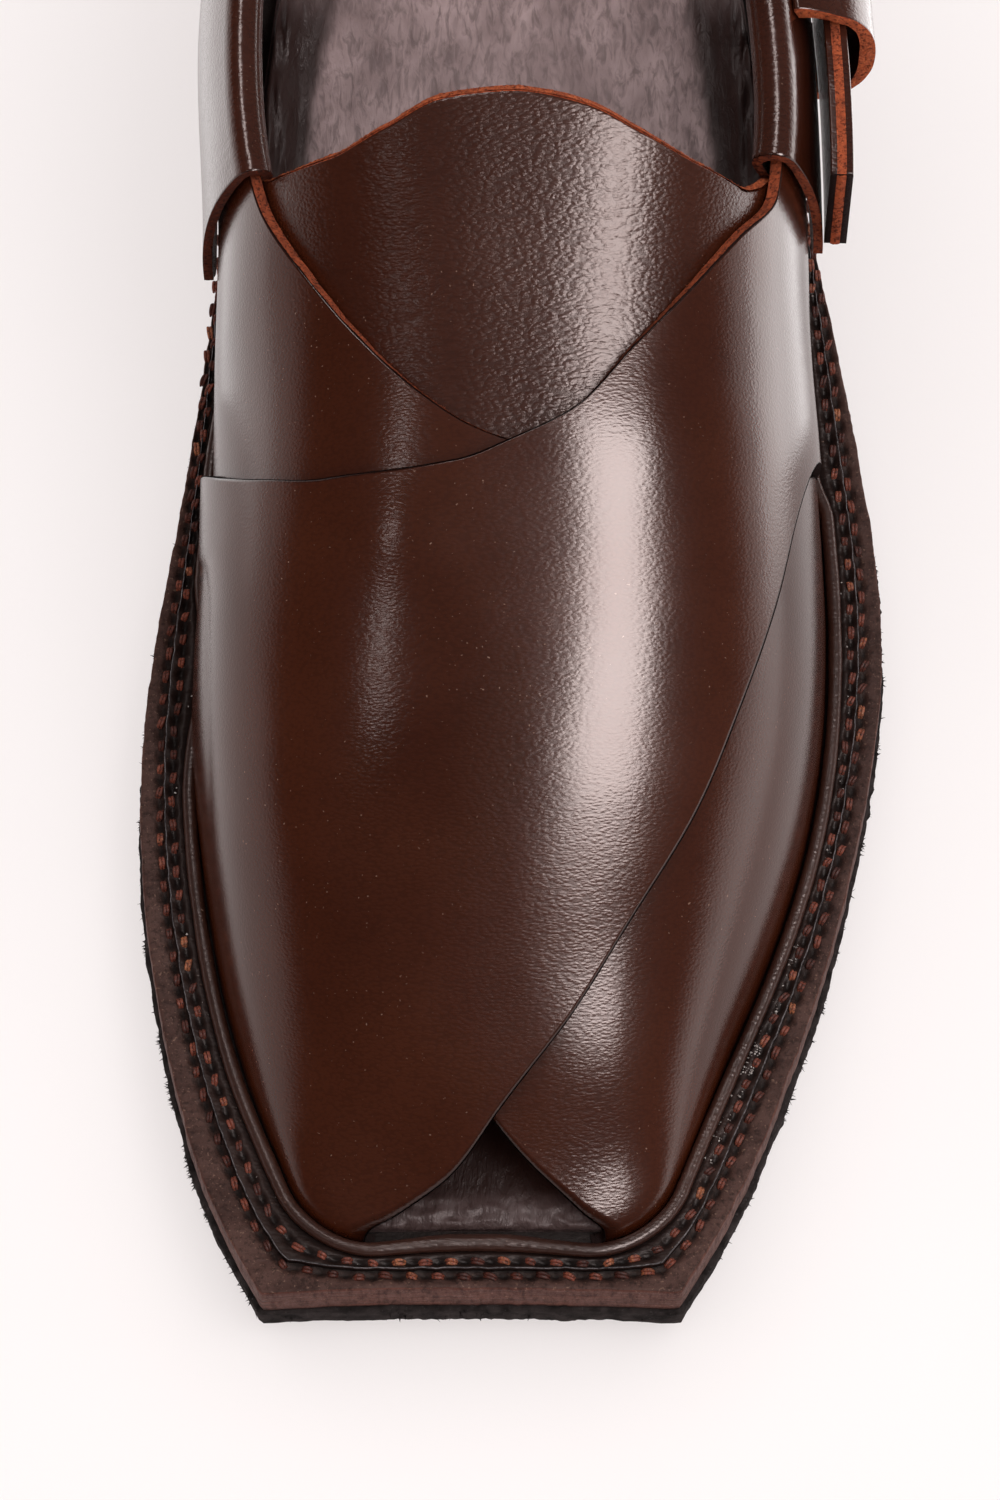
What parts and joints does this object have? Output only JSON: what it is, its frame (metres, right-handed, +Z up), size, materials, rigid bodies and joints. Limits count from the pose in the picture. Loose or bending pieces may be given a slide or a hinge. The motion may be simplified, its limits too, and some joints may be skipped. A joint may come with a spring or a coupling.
{
  "type": "peshawari chappal",
  "caption": "Left leather sandal with two wide crossed bands, an open toe and throat, a stitched thick sole and a buckled strap round the heel.",
  "frame": {"origin": "centre of the heel's flat bottom", "axes": "+X to the wearer's outer side, -Y to the toe, +Z up; the floor is z = 0"},
  "size_m": [0.1177, 0.2959, 0.0874],
  "materials": {
    "brown_leather": "polished dark reddish brown leather",
    "strap_leather": "polished dark reddish brown leather",
    "buckle_metal": "plain brushed steel",
    "insole_leather": "soft grey mauve leather",
    "sole_leather": "dull brown stacked leather edge",
    "sole_rubber": "matt dark grey rubber"
  },
  "bodies": {
    "root": {"upper": "brown_leather", "tongue": "brown_leather", "welt": "brown_leather", "heel_strap": "strap_leather", "side_collar": "strap_leather", "keeper_loop": "strap_leather", "buckle_chape": "strap_leather", "buckle_frame": "buckle_metal", "buckle_prong": "buckle_metal", "insole": "insole_leather", "midsole": "sole_leather", "outsole": "sole_rubber", "heel": "sole_rubber"}
  },
  "joints": []
}
